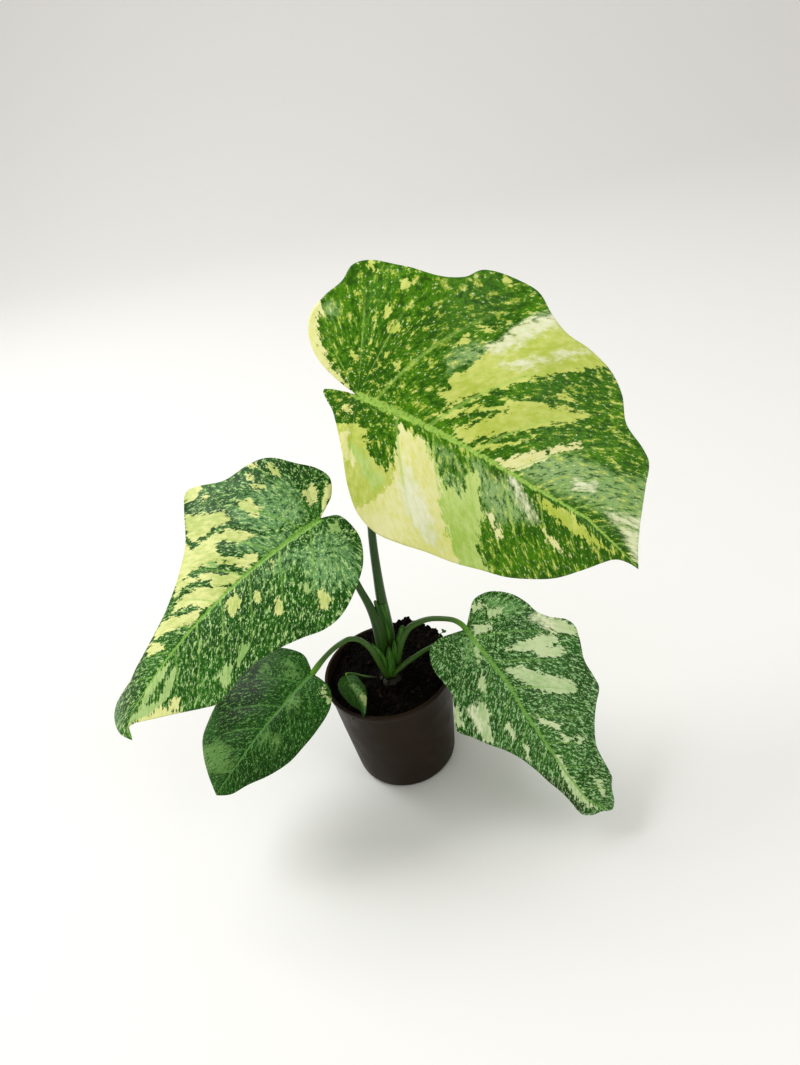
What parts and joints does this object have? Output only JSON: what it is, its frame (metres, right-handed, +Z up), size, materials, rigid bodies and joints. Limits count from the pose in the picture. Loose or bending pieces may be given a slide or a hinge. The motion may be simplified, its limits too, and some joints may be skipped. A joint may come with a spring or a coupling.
{
  "type": "potted monstera",
  "caption": "Young variegated monstera with heart-shaped speckled leaves on green stalks, growing in a small round brown nursery pot.",
  "frame": {"origin": "centre of the pot's underside, on the surface that it stands on", "axes": "+Z up; -Y is the side that the leaves lean towards and that the picture shows"},
  "size_m": [0.3672, 0.1638, 0.3941],
  "materials": {
    "pot_plastic": "satin",
    "peat_soil": "matte",
    "green_stem": "satin",
    "lime_leaf": "satin",
    "green_leaf": "satin"
  },
  "bodies": {
    "root": {"pot": "pot_plastic", "soil": "peat_soil", "crown": "green_stem", "petiole_large": "green_stem", "petiole_left": "green_stem", "petiole_small": "green_stem", "petiole_right": "green_stem", "petiole_spare": "green_stem", "petiole_tiny": "green_stem", "leaf_large": "lime_leaf", "leaf_left": "green_leaf", "leaf_small": "green_leaf", "leaf_right": "green_leaf", "leaf_tiny": "green_leaf"}
  },
  "joints": []
}
